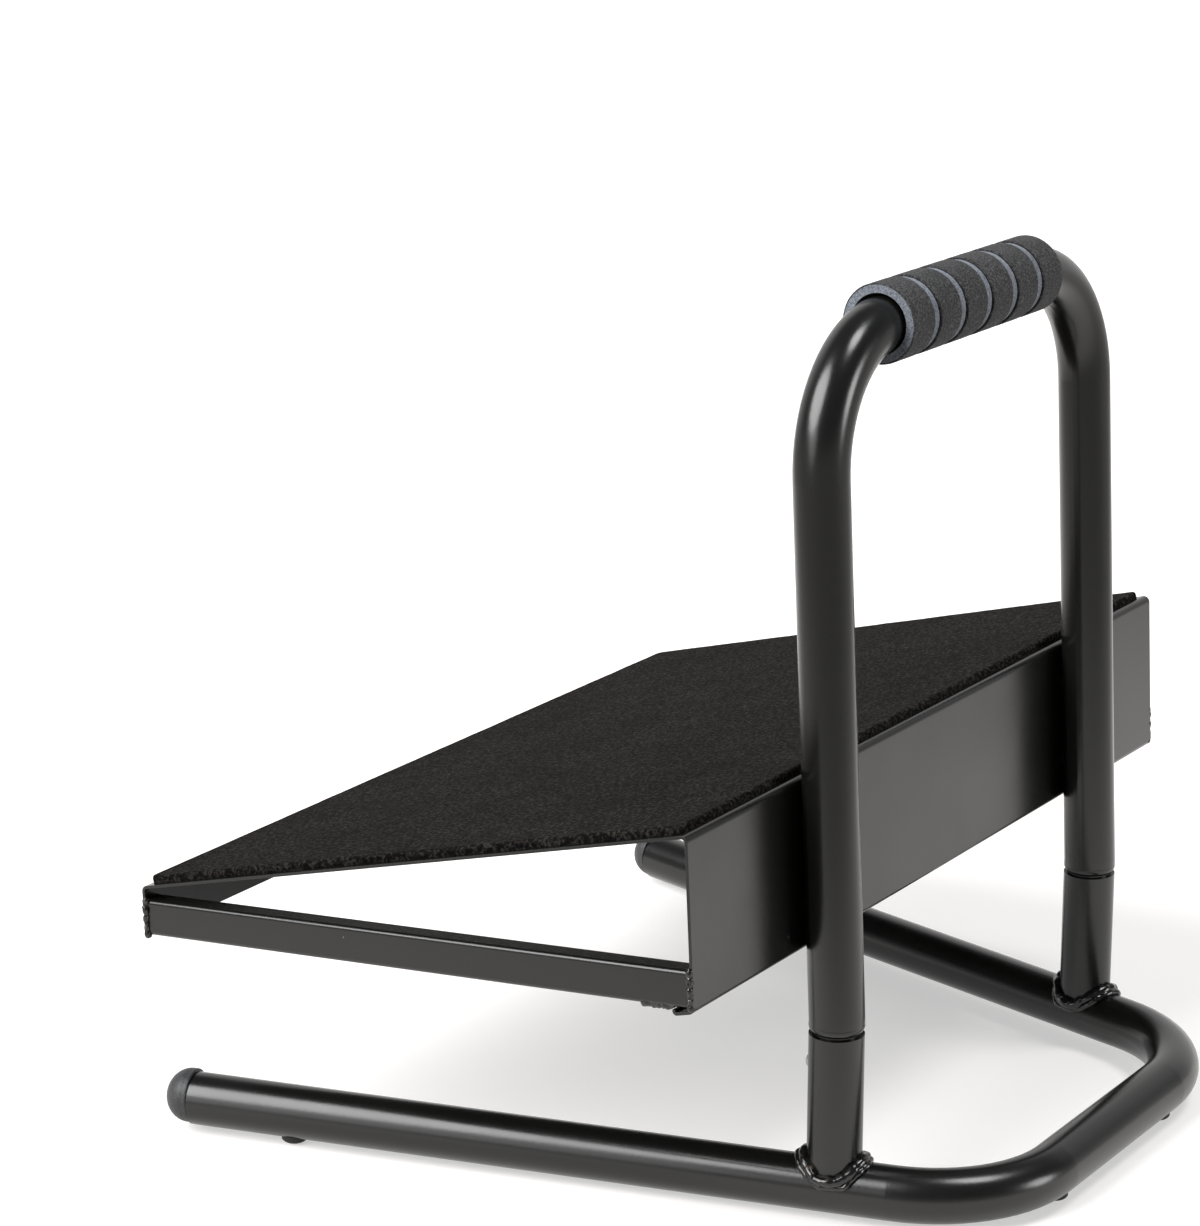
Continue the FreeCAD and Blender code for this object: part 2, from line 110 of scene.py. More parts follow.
# %% [markdown]
# ## Helpers for node trees
#
# Every material and every Geometry Nodes tree is a list of nodes with settings and links, so
# one small function feeds a node's inputs and one adds a node to either. Where a node is
# given as an input, its first output is meant. Nearly all of a noise lies between 0.3 and
# 0.7, so that range is often stretched to another. Colours are picked as sRGB hex values, the
# way a paint card gives them, and shaders need them linear.

# %% Helpers for node trees
NOISE_RANGE = {1: 0.3, 2: 0.7}


def feed(tree, node, inputs):
    """Feed a node's inputs with values, sockets or nodes."""
    for key, value in inputs.items():
        if isinstance(value, bpy.types.Node):
            value = value.outputs[0]
        if isinstance(value, bpy.types.NodeSocket):
            tree.links.new(value, node.inputs[key])
        else:
            node.inputs[key].default_value = value


def add(tree, kind, inputs=None, **settings):
    """Add a node with these inputs; settings are its properties."""
    made = tree.nodes.new(kind)
    for name, value in settings.items():
        setattr(made, name, value)
    feed(tree, made, inputs or {})
    return made


def linear(hex_colour):
    """An sRGB hex colour as linear RGBA."""
    parts = [int(hex_colour[i:i + 2], 16) / 255 for i in (1, 3, 5)]
    return [*(c / 12.92 if c <= 0.04045 else ((c + 0.055) / 1.055) ** 2.4 for c in parts), 1]


def new_material(name, constants):
    """A material whose shader has these constants, its tree, its shader and a place on it."""
    material = bpy.data.materials.new(name)
    material.use_nodes = True
    tree = material.node_tree
    shader = tree.nodes["Principled BSDF"]
    feed(tree, shader, constants)
    return material, tree, shader, add(tree, "ShaderNodeTexCoord").outputs["Object"]


# %% [markdown]
# ## Powder coat
#
# The tubes and the plate are mild steel with a satin black polyester powder coat, sprayed as
# dry powder and fused in an oven. It flows out slightly uneven, so the eye sees an orange
# peel about a millimetre and a half across in the edges of the highlights, a sheen that
# wanders from place to place, and here and there a pale speck of dust that baked in. One
# shader does for all of it: noise for the peel and the sheen, and a Voronoi grid for the
# specks, of which only the cells with a high random colour keep theirs.

# %% Powder coat
COAT_BLACK = linear("#0d0d0c")
COAT_DUST = linear("#6f6b66")
PEEL_SIZE = 1.6 * MM
PEEL_HEIGHT = 0.05 * MM
SHEEN_PATCH = 45 * MM
SHEEN_RANGE = {**NOISE_RANGE, 3: 0.21, 4: 0.27}
DUST_SPACING = 16 * MM
DUST_RADIUS = 0.352 * MM
DUST_RARITY = 0.6


def make_powder_coat():
    coat, tree, shader, place = new_material("satin_powder_coat", {"IOR": 1.5})
    peel = add(tree, "ShaderNodeTexNoise", {"Vector": place, "Scale": 1 / PEEL_SIZE, "Detail": 1.0})
    patch = add(tree, "ShaderNodeTexNoise", {"Vector": place, "Scale": 1 / SHEEN_PATCH, "Detail": 3.0})
    sheen = add(tree, "ShaderNodeMapRange", {0: patch, **SHEEN_RANGE})
    bump = add(tree, "ShaderNodeBump", {"Height": peel, "Distance": PEEL_HEIGHT, "Strength": 0.35})
    grid = add(tree, "ShaderNodeTexVoronoi", {"Vector": place, "Scale": 1 / DUST_SPACING})
    speck = add(tree, "ShaderNodeMath", {0: grid, 1: DUST_RADIUS / DUST_SPACING}, operation="LESS_THAN")
    rare = add(tree, "ShaderNodeSeparateColor", {"Color": grid.outputs["Color"]})
    chosen = add(tree, "ShaderNodeMath", {0: rare, 1: DUST_RARITY}, operation="GREATER_THAN")
    dust = add(tree, "ShaderNodeMath", {0: speck, 1: chosen}, operation="MULTIPLY")
    colour = add(tree, "ShaderNodeMix", {0: dust, 6: COAT_BLACK, 7: COAT_DUST}, data_type="RGBA")
    feed(tree, shader, {"Base Color": colour.outputs[2], "Roughness": sheen, "Normal": bump})
    return coat


powder_coat = make_powder_coat()
print("made", powder_coat.name)

# %% [markdown]
# ## Other metals
#
# Over a weld the same coat pools between the ripples and comes out glossier, and where it is
# thin on a crest, a little of the weld's brown heat tint shows. The screws, washers and snap
# buttons are zinc-plated steel, which is brighter than bare steel and slightly cloudy, and
# the leaf springs are oiled spring steel. Both steels are one function with other colours.
# The rivet nuts are set before the frame is coated, so they are coated with it.

# %% Coated weld and plated steel
WELD_SCALE_SIZE = 1.6 * MM
WELD_SCALE_HEIGHT = 0.1 * MM
HEAT_TINT_SIZE = 5 * MM
WELD_BLACK = linear("#111010")
HEAT_TINT = linear("#43372d")


def make_weld_coat():
    coat, tree, shader, place = new_material("coated_weld", {"IOR": 1.5})
    scale = add(tree, "ShaderNodeTexNoise", {"Vector": place, "Scale": 1 / WELD_SCALE_SIZE, "Detail": 2.0})
    gloss = add(tree, "ShaderNodeMapRange", {0: scale, **NOISE_RANGE, 3: 0.09, 4: 0.2})
    bump = add(tree, "ShaderNodeBump", {"Height": scale, "Distance": WELD_SCALE_HEIGHT, "Strength": 0.4})
    burn = add(tree, "ShaderNodeTexNoise", {"Vector": place, "Scale": 1 / HEAT_TINT_SIZE, "Detail": 3.0})
    ramp = add(tree, "ShaderNodeMapRange", {0: burn, 1: 0.62, 2: 0.72})
    colour = add(tree, "ShaderNodeMix", {0: ramp, 6: WELD_BLACK, 7: HEAT_TINT}, data_type="RGBA")
    feed(tree, shader, {"Base Color": colour.outputs[2], "Roughness": gloss, "Normal": bump})
    return coat


def make_plated_steel(name, pale, dark, cloud_size):
    metal, tree, shader, place = new_material(name, {"Metallic": 1.0})
    cloud = add(tree, "ShaderNodeTexNoise", {"Vector": place, "Scale": 1 / cloud_size, "Detail": 4.0})
    colour = add(tree, "ShaderNodeMix", {0: cloud, 6: linear(dark), 7: linear(pale)}, data_type="RGBA")
    rough = add(tree, "ShaderNodeMapRange", {0: cloud, **NOISE_RANGE, 3: 0.22, 4: 0.42})
    feed(tree, shader, {"Base Color": colour.outputs[2], "Roughness": rough})
    return metal


weld_coat = make_weld_coat()
zinc_plate = make_plated_steel("zinc_plated_steel", "#c9c8c2", "#8f8e8a", 3 * MM)
spring_steel = make_plated_steel("oiled_spring_steel", "#8d9095", "#5b5e63", 6 * MM)
print("made", weld_coat.name, zinc_plate.name, spring_steel.name)


# %% [markdown]
# ## Foam, rubber and plastic
#
# The grip is a nitrile foam sleeve. Its moulded skin is charcoal and speckled with pores, and
# wherever a knife went through, the paler blue-grey inside shows, with open cells. The mat is
# a black foam sheet with a fine felt-like grain that swallows light, so it has next to no
# shine. The feet are black rubber and the caps are dark grey polyethylene with the fine
# spark-eroded texture of its mould. All are a dark ground with paler specks and a relief, so
# one function makes them from a few values. The real pores and fibres are 0.2 to 0.5 mm
# across, which is less than a pixel here, so the grains are drawn two to four times coarser.

# %% Soft materials
def make_speckled(name, colours, grain, relief, rough, specks=(0.52, 0.72), shine=0.5):
    """A ground with specks by a fine noise, which is also its relief, clouded by a broad one."""
    constants = {"IOR": 1.45, "Roughness": rough, "Specular IOR Level": shine}
    soft, tree, shader, place = new_material(name, constants)
    ground, speck = (linear(colour) for colour in colours)
    grains = {"Vector": place, "Scale": 1 / grain, "Detail": 3.0, "Roughness": 0.65}
    fine = add(tree, "ShaderNodeTexNoise", grains)
    broad = add(tree, "ShaderNodeTexNoise", {"Vector": place, "Scale": 0.05 / grain, "Detail": 2.0})
    dots = add(tree, "ShaderNodeMapRange", {0: fine, 1: specks[0], 2: specks[1]})
    cloud = add(tree, "ShaderNodeMapRange", {0: broad, **NOISE_RANGE, 3: 0.85, 4: 1.15})
    colour = add(tree, "ShaderNodeMix", {0: dots, 6: ground, 7: speck}, data_type="RGBA")
    shade = {0: 1.0, 6: colour.outputs[2], 7: cloud}
    clouded = add(tree, "ShaderNodeMix", shade, data_type="RGBA", blend_type="MULTIPLY")
    bump = add(tree, "ShaderNodeBump", {"Height": fine, "Distance": relief, "Strength": 0.6})
    feed(tree, shader, {"Base Color": clouded.outputs[2], "Normal": bump})
    return soft


foam_skin = make_speckled(
    "moulded_nitrile_foam", ("#1b1b1c", "#5b5b5d"), 1.0 * MM, 0.25 * MM, 0.8, specks=(0.45, 0.75),
)
foam_cut = make_speckled(
    "cut_nitrile_foam", ("#4e5259", "#8b919a"), 0.9 * MM, 0.3 * MM, 0.9, specks=(0.35, 0.7),
)
# Painted shade: a near-black foam for the walls of the knife slits and the grip bore's open mouth, standing
# for the shade deep in them.
painted_shade_foam = make_speckled("knife_slit_foam", ("#070708", "#0d0d0e"), 0.8 * MM, 0.2 * MM, 0.95)
mat_foam = make_speckled(
    "felt_grained_mat_foam", ("#0a0909", "#35322f"), 1.7 * MM, 0.3 * MM, 0.85, specks=(0.46, 0.72),
    shine=0.03,
)
cap_plastic = make_speckled(
    "moulded_polyethylene", ("#262728", "#3f4042"), 0.9 * MM, 0.12 * MM, 0.5, specks=(0.4, 0.7),
)
foot_rubber = make_speckled("moulded_black_rubber", ("#151515", "#242424"), 0.5 * MM, 0.05 * MM, 0.6)
print("made", foam_skin.name, foam_cut.name, mat_foam.name, cap_plastic.name, foot_rubber.name)

# %% [markdown]
# ## Solids that keep their own shape
#
# The two big bent tubes, the rivet nuts, the buttons, the leaf springs and the moulded feet
# are already exact, so they only change their paint. Their meshes could be copied, but a
# material on the slots of each one's object is enough.

# %% Paint the kept solids
KEPT = (
    (powder_coat, ("base_tube", "handle_tube", "rivet_nuts")),
    (zinc_plate, ("snap_button_left", "snap_button_right")),
    (spring_steel, ("snap_spring_left", "snap_spring_right")),
    (foot_rubber, ("foot_front_left", "foot_front_right", "foot_rear_left", "foot_rear_right")),
)
for finish, node_names in KEPT:
    for node_name in node_names:
        for slot in NODES[node_name].material_slots:
            slot.material = finish
    print(finish.name, "on", ", ".join(node_names))


# %% [markdown]
# ## Finishing a piece
#
# A new piece rides on a body and stands for the solid it replaces, which is hidden. Its
# object stays at the origin, and its shading is smooth except where two faces meet at a
# clear angle.

# %% Finish a piece
SHARP_ANGLE = math.radians(38)
SEAM_GAP = 0.001 * MM


def merged(mesh):
    """An editable copy of a mesh, with the points that its faces share made one."""
    shape = bmesh.new()
    shape.from_mesh(mesh)
    bmesh.ops.remove_doubles(shape, verts=shape.verts, dist=SEAM_GAP)
    return shape


def plain_mesh(name, shape):
    """A mesh from an editable shape, which is done with."""
    mesh = bpy.data.meshes.new(name)
    shape.to_mesh(mesh)
    shape.free()
    return mesh


def finish_piece(piece, body, slot_name, *replaced):
    """Shade a piece, hang it on its body, and hide the solids it stands for."""
    piece.data.shade_smooth()
    piece.data.set_sharp_from_angle(angle=SHARP_ANGLE)
    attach(piece, body)
    if replaced:
        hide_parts(*replaced)
    print(piece.name, len(piece.data.polygons), "faces on", body)


def new_object(name, data, *materials):
    """A new object in the scene that holds a mesh, a lamp or a camera."""
    made = bpy.data.objects.new(name, data)
    bpy.context.scene.collection.objects.link(made)
    for material in materials:
        data.materials.append(material)
    return made


# %% [markdown]
# ## Deburred sheet and tube
#
# The plate is laser-cut sheet, folded five times, and the struts and sockets are sawn tube.
# All are tumbled or filed before coating, so no edge is razor sharp: the thin bright line
# along the plate's side in the photograph is light on such an edge. A copy of the solid is
# merged, its flat faces are joined, and every sharp edge gets a small round. A Bevel
# modifier could do the last step, but then the joined faces would need an object of their
# own. Large faces rule the shading, so that flats stay flat beside the rounds, and the
# sockets' thin skirts end where their welds begin.

# %% Deburr copies of the sheet and tube solids
DEBUR_WIDTH = 0.45 * MM
DEBUR_STEPS = 3
EDGE_ANGLE = math.radians(40)
SKIRT_TRIM = 4 * MM


def deburred(node_name):
    """A copy of a solid with its sharp edges rounded."""
    shape = merged(NODES[node_name].data)
    flat = {"angle_limit": math.radians(1), "verts": shape.verts, "edges": shape.edges}
    bmesh.ops.dissolve_limit(shape, **flat)
    sharp = [e for e in shape.edges if len(e.link_faces) == 2 and e.calc_face_angle() > EDGE_ANGLE]
    rounding = {"offset": DEBUR_WIDTH, "segments": DEBUR_STEPS, "profile": 0.5, "affect": "EDGES"}
    bmesh.ops.bevel(shape, geom=sharp, clamp_overlap=True, **rounding)
    return plain_mesh(node_name + "_deburred", shape)


for node_name in ("footplate", "strut_left", "strut_right", "socket_left", "socket_right"):
    body = "base" if node_name.startswith("socket") else "upper_frame"
    mesh = deburred(node_name)
    if body == "base":
        skirt_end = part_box(node_name)[0].z + SKIRT_TRIM
        for vertex in mesh.vertices:
            vertex.co.z = max(vertex.co.z, skirt_end)
    piece = new_object(node_name + "_deburred", mesh, powder_coat)
    finish_piece(piece, body, "powder_coat", node_name)
    piece.modifiers.new("flat faces rule", "WEIGHTED_NORMAL").keep_sharp = True


# %% [markdown]
# ## Growing a piece from a tree
#
# A Geometry Nodes tree is a recipe with named inputs. The object that carries the tree holds
# its starting points, such as a path or an outline. Once the inputs are set, the result is
# read back as a plain mesh and the tree comes off, so nothing is left to be evaluated later.

# %% Helpers for Geometry Nodes
TREE_SOCKETS = {float: "NodeSocketFloat", int: "NodeSocketInt", tuple: "NodeSocketVector"}


def new_tree(name, defaults, materials=("Material",), objects=()):
    """A tree with a Geometry input, the named inputs and a Geometry output."""
    tree = bpy.data.node_groups.new(name, "GeometryNodeTree")
    tree.interface.new_socket(name="Geometry", in_out="OUTPUT", socket_type="NodeSocketGeometry")
    tree.interface.new_socket(name="Geometry", in_out="INPUT", socket_type="NodeSocketGeometry")
    for key, value in defaults.items():
        kind = TREE_SOCKETS[type(value)]
        tree.interface.new_socket(name=key, in_out="INPUT", socket_type=kind).default_value = value
    for kind, keys in (("NodeSocketMaterial", materials), ("NodeSocketObject", objects)):
        for key in keys:
            tree.interface.new_socket(name=key, in_out="INPUT", socket_type=kind)
    return tree, add(tree, "NodeGroupInput").outputs


def end_tree(tree, geometry, *paints):
    """Realize what was built, give it its materials and send it out."""
    solid = add(tree, "GeometryNodeRealizeInstances", {"Geometry": geometry})
    for paint in paints:
        solid = add(tree, "GeometryNodeSetMaterial", {"Geometry": solid, **paint})
    add(tree, "NodeGroupOutput", {0: solid})


def outline_mesh(name, points, closed=False, marks=None):
    """A chain of edges through points, with named yes-or-no marks on its points."""
    mesh = bpy.data.meshes.new(name)
    chain = [(i, i + 1) for i in range(len(points) - 1)]
    mesh.from_pydata(points, chain + ([(len(points) - 1, 0)] if closed else []), [])
    for mark, values in (marks or {}).items():
        mesh.attributes.new(mark, "BOOLEAN", "POINT").data.foreach_set("value", values)
    return mesh


def grow(name, start, tree, **inputs):
    """Run a tree on a starting mesh and keep the result as a plain, closed mesh."""
    host = new_object(name, start)
    modifier = host.modifiers.new("grow", "NODES")
    modifier.node_group = tree
    for item in tree.interface.items_tree:
        key = item.name.replace(" ", "_")
        if item.in_out == "INPUT" and key in inputs:
            modifier[item.identifier] = inputs[key]
    graph = bpy.context.evaluated_depsgraph_get()
    grown = bpy.data.meshes.new_from_object(host.evaluated_get(graph), depsgraph=graph)
    host.modifiers.clear()
    shape = merged(grown)
    bmesh.ops.recalc_face_normals(shape, faces=shape.faces)
    shape.to_mesh(grown)
    shape.free()
    host.data = grown
    return host


# %% [markdown]
# ## Turned pieces
#
# The grip, the caps and the washers are all round about an axis. Each is an outline of
# radius and height, swept round a small circle. A Screw modifier would turn an outline too,
# but the tree also roughens the skin a little, because foam and moulded plastic aren't
# perfectly smooth even in outline, and it paints the marked rings.

# %% A tree that turns an outline
HUB_R = 0.5 * MM


def roughened(tree, given, geometry, prefix, detail):
    """Push a surface in and out by a seeded noise of a given height and size."""
    spot = add(tree, "GeometryNodeInputPosition")
    per_metre = add(tree, "ShaderNodeMath", {0: 1.0, 1: given[prefix + " Size"]}, operation="DIVIDE")
    cells = {"Vector": spot, "W": given["Seed"], "Scale": per_metre, "Detail": detail}
    bumps = add(tree, "ShaderNodeTexNoise", cells, noise_dimensions="4D")
    centred = add(tree, "ShaderNodeMath", {0: bumps, 1: 0.5}, operation="SUBTRACT")
    lift = add(tree, "ShaderNodeMath", {0: centred, 1: given[prefix + " Height"]}, operation="MULTIPLY")
    outward = add(tree, "GeometryNodeInputNormal")
    push = add(tree, "ShaderNodeVectorMath", {0: outward, "Scale": lift}, operation="SCALE")
    return add(tree, "GeometryNodeSetPosition", {"Geometry": geometry, "Offset": push})


def make_turning_tree():
    values = {"Sides": 64, "Grain Height": 0.0, "Grain Size": 1.0 * MM, "Seed": 0.0}
    tree, given = new_tree("turned_piece", values, ("Material", "Cut Material", "Slit Material"))
    outline = add(tree, "GeometryNodeMeshToCurve", {"Mesh": given["Geometry"]})
    hub = add(tree, "GeometryNodeCurvePrimitiveCircle", {"Resolution": given["Sides"], "Radius": HUB_R})
    swept = add(tree, "GeometryNodeCurveToMesh", {"Curve": hub, "Profile Curve": outline})
    welded = add(tree, "GeometryNodeMergeByDistance", {"Geometry": swept, "Distance": SEAM_GAP})
    rough = roughened(tree, given, welded, "Grain", 2.0)
    paints = [{"Material": given["Material"]}]
    # The slit mark takes the painted shade foam: near black for the shade in the slits and in the bore's
    # mouth.
    for mark, paint in (("cut", "Cut Material"), ("slit", "Slit Material")):
        marked = add(tree, "GeometryNodeInputNamedAttribute", {"Name": mark}, data_type="BOOLEAN")
        paints.append({"Selection": marked, "Material": given[paint]})
    end_tree(tree, rough, *paints)
    return tree


turning_tree = make_turning_tree()


def turned(name, outline, place, axis, marks=None, closed=False, **inputs):
    """A turned piece from (radius, height) points, with its axis moved to a place."""
    points = [(radius - HUB_R, -height, 0) for radius, height in outline]
    piece = grow(name, outline_mesh(name, points, closed, marks), turning_tree, **inputs)
    turn = Vector((0, 0, 1)).rotation_difference(axis).to_matrix().to_4x4()
    piece.data.transform(Matrix.Translation(place) @ turn)
    return piece


print("turning tree:", len(turning_tree.nodes), "nodes")

# %% [markdown]
# ## The foam grip
#
# The sleeve is skived: a pair of knives cuts two rings a few millimetres apart, and the skin
# between them is peeled off. That leaves a shallow pale band between two narrow slits, five
# times over; the slits' walls are painted near black, as painted shade for the dark deep in
# them. Stitching rings together would leave seams, so the whole sleeve is one closed outline,
# and a loop repeats the steps of a band. Each end is cut clean across, which shows the pale
# inside as a ring, and its bore opens a little where it was pulled over the tube; that open
# mouth is painted near black too, as painted shade between the foam and the tube.

# %% Foam grip
GRIP_BAND = 6.2 * MM
GRIP_BANDS = 5
BAND_DEPTH = 0.9 * MM
SLIT_WIDTH = 0.85 * MM
SLIT_DEPTH = 2.3 * MM
SKIN_EDGE_R = 0.3 * MM
GRIP_END_R = 0.6 * MM
MOUTH_FLARE = 0.9 * MM
MOUTH_DEPTH = 3.0 * MM
BORE_GAP = 0.3 * MM
SKIN_STEP = 0.9 * MM


def rounded(centre_radius, centre_height, size, first, last, steps=3):
    """Points of an arc about a centre, from one angle in degrees to another."""
    angles = [math.radians(first + (last - first) * i / steps) for i in range(steps + 1)]
    return [(centre_radius + size * math.sin(a), centre_height + size * math.cos(a)) for a in angles]


def even_steps(start, end, radius):
    """Points at one radius from start to end, about a skin step apart."""
    count = max(2, round((end - start) / SKIN_STEP))
    return [(radius, start + (end - start) * i / count) for i in range(1, count)]


def grip_outline():
    """The sleeve's section: points of radius and height, with their finishes."""
    low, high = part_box("foam_grip")
    outer = (high.z - low.z) / 2
    half = (high.x - low.x) / 2
    floor = outer - BAND_DEPTH
    bottom = outer - SLIT_DEPTH
    bore = TUBE_R + BORE_GAP
    rib = (2 * half - GRIP_BANDS * GRIP_BAND) / (GRIP_BANDS + 1)
    points, finishes = [], []

    def put(finish, *new):
        points.extend(new)
        finishes.extend([finish] * len(new))

    put("cut", (bore + MOUTH_FLARE, -half), (outer - GRIP_END_R - 0.2 * MM, -half))
    put("skin", *rounded(outer - GRIP_END_R, GRIP_END_R - half, GRIP_END_R, 180, 90, 5))
    start = GRIP_END_R - half
    for index in range(GRIP_BANDS):
        edge = (index + 1) * rib + index * GRIP_BAND - half
        far = edge + GRIP_BAND
        put("skin", *even_steps(start, edge - SKIN_EDGE_R, outer))
        put("skin", *rounded(outer - SKIN_EDGE_R, edge - SKIN_EDGE_R, SKIN_EDGE_R, 90, 0))
        # Painted shade: the slits at both edges of a band are near-black foam, for the shade deep in them.
        put("slit", (floor, edge), (bottom, edge), (bottom, edge + SLIT_WIDTH), (floor, edge + SLIT_WIDTH))
        put("cut", (floor, edge + SLIT_WIDTH * 1.1))
        put("cut", *even_steps(edge + SLIT_WIDTH, far - SLIT_WIDTH, floor))
        put("cut", (floor, far - SLIT_WIDTH * 1.1))
        put("slit", (floor, far - SLIT_WIDTH), (bottom, far - SLIT_WIDTH), (bottom, far), (floor, far))
        put("skin", *rounded(outer - SKIN_EDGE_R, far + SKIN_EDGE_R, SKIN_EDGE_R, 180, 90))
        start = far + SKIN_EDGE_R
    put("skin", *even_steps(start, half - GRIP_END_R, outer))
    put("skin", *rounded(outer - GRIP_END_R, half - GRIP_END_R, GRIP_END_R, 90, 0, 5))
    put("cut", (outer - GRIP_END_R - 0.2 * MM, half), (bore + MOUTH_FLARE, half))
    # Painted shade: the bore's flared mouth takes the near-black slit foam, for the shade between foam and
    # tube.
    put("slit", (bore + MOUTH_FLARE * 0.9, half - 0.1 * MM), (bore, half - MOUTH_DEPTH))
    put("slit", (bore, MOUTH_DEPTH - half), (bore + MOUTH_FLARE * 0.9, 0.1 * MM - half))
    return points, finishes


grip_points, grip_finishes = grip_outline()
grip_marks = {mark: [f == mark for f in grip_finishes] for mark in ("cut", "slit")}
grip_low, grip_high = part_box("foam_grip")
grip_finish = {"Material": foam_skin, "Cut_Material": foam_cut, "Slit_Material": painted_shade_foam}
grip = turned(
    "foam_grip_sleeve", grip_points, (grip_low + grip_high) / 2, X_AXIS, grip_marks, True,
    Sides=144, Grain_Height=0.3 * MM, Grain_Size=1.4 * MM, Seed=3.0, **grip_finish,
)
finish_piece(grip, "upper_frame", "foam", "foam_grip")

# %% [markdown]
# ## The soft mat
#
# The mat is a die-cut sheet of foam, 4 mm thick. Up close its edge isn't as crisp as the
# steel: the die drags the top edge round, the cut wanders by a fraction of a millimetre, and
# the face dips and swells slightly. Subdivision with a displacement would spend its points
# evenly, so a grid that is finer towards its edges carries all of that as real shape.

# %% Soft mat
MAT_CORNER_R = 4.0 * MM
MAT_EDGE_R = 1.5 * MM
MAT_CELL = 3.2 * MM
MAT_SWELL = 0.22 * MM
MAT_SWELL_SIZE = 38 * MM
MAT_GRAIN = 0.12 * MM
MAT_GRAIN_SIZE = 5 * MM
MAT_WANDER = 0.3 * MM
EDGE_SHARES = (0.0, 0.06, 0.16, 0.3, 0.48, 0.7)


def plate_matrix(corner):
    """Local axes across the plate, down its slope and square out of it, at a corner."""
    axes = Matrix((X_AXIS, PLATE_BACK, PLATE_OUT)).transposed().to_4x4()
    return Matrix.Translation(corner) @ axes


def graded(length):
    """Places from 0 to a length, closer together towards both ends."""
    band = [share * MAT_CORNER_R * 1.4 for share in EDGE_SHARES]
    start = MAT_CORNER_R * 1.4
    count = round((length - 2 * start) / MAT_CELL)
    middle = [start + (length - 2 * start) * i / count for i in range(count + 1)]
    return band + middle + [length - value for value in reversed(band)]


def round_corner(x, y, width, depth):
    """Pull a point of the rectangle in, so that its corners are quarter circles."""
    half_w, half_d = width / 2 - MAT_CORNER_R, depth / 2 - MAT_CORNER_R
    over_x, over_y = abs(x) - half_w, abs(y) - half_d
    if over_x <= 0 or over_y <= 0:
        return x, y
    scale = max(over_x, over_y) / math.hypot(over_x, over_y)
    return math.copysign(half_w + over_x * scale, x), math.copysign(half_d + over_y * scale, y)


def mat_height(x, y, inset, thickness):
    """Height of the mat's face: rounded near its edge, slightly uneven elsewhere."""
    short = max(0.0, MAT_EDGE_R - inset)
    drop = MAT_EDGE_R - math.sqrt(MAT_EDGE_R ** 2 - short ** 2)
    swell = noise.noise(Vector((x, y, 0)) / MAT_SWELL_SIZE) * MAT_SWELL
    grain = noise.noise(Vector((x, y, MAT_SWELL_SIZE)) / MAT_GRAIN_SIZE) * MAT_GRAIN
    return thickness - drop - abs(swell) - abs(grain)


def make_mat(width, depth, thickness):
    """A closed slab: a fine upper face, a side wall and a flat underside."""
    across, along = graded(width), graded(depth)
    shape = bmesh.new()
    grids = []
    for upper in (True, False):
        rows = []
        for v in along:
            row = []
            for u in across:
                x, y = round_corner(u - width / 2, v - depth / 2, width, depth)
                inset = min(u, v, width - u, depth - v)
                edge = 1 - min(1.0, inset / MAT_CORNER_R)
                wander = noise.noise(Vector((x, y, 1)) / (MAT_SWELL_SIZE / 3)) * MAT_WANDER * edge
                pull = 1 - (MAT_WANDER + wander) * edge / (width / 2)
                z = mat_height(x, y, inset, thickness) if upper else 0.0
                row.append(shape.verts.new((x * pull, y * pull, z)))
            rows.append(row)
        grids.append(rows)
    for rows, upper in zip(grids, (True, False)):
        for low, high in zip(rows, rows[1:]):
            for i in range(len(across) - 1):
                corners = [low[i], low[i + 1], high[i + 1], high[i]]
                shape.faces.new(corners if upper else corners[::-1])
    rims = []
    for rows in grids:
        right = [row[-1] for row in rows[1:]]
        left = [row[0] for row in rows[1:-1]]
        rims.append(rows[0] + right + rows[-1][-2::-1] + left[::-1])
    top_rim, low_rim = rims
    for i in range(len(top_rim)):
        j = (i + 1) % len(top_rim)
        shape.faces.new([low_rim[i], low_rim[j], top_rim[j], top_rim[i]])
    return plain_mesh("soft_mat", shape)


MAT_T = 4 * MM
mat_low, mat_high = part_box("mat")
mat_centre = (mat_low + mat_high) / 2
mat_width = mat_high.x - mat_low.x
mat_depth = ((mat_high.y - mat_low.y) - MAT_T * PLATE_OUT.y) / PLATE_OUT.z
mat_mesh = make_mat(mat_width, mat_depth, MAT_T)
mat_mesh.transform(plate_matrix(mat_centre - PLATE_OUT * MAT_T / 2))
mat_piece = new_object("soft_mat", mat_mesh, mat_foam)
finish_piece(mat_piece, "upper_frame", "mat_foam", "mat")
print("mat:", round(mat_width / MM, 1), "x", round(mat_depth / MM, 1), "mm")

# %% [markdown]
# ## Weld beads
#
# A welder lays a bead as a row of overlapping drops, and no two drops are quite alike. The
# tree follows any path: it swells and narrows the bead once per drop, shifts the drops
# unevenly, and lumps the surface. The same recipe makes the rings round the sockets and the
# short beads at the ends of the struts.

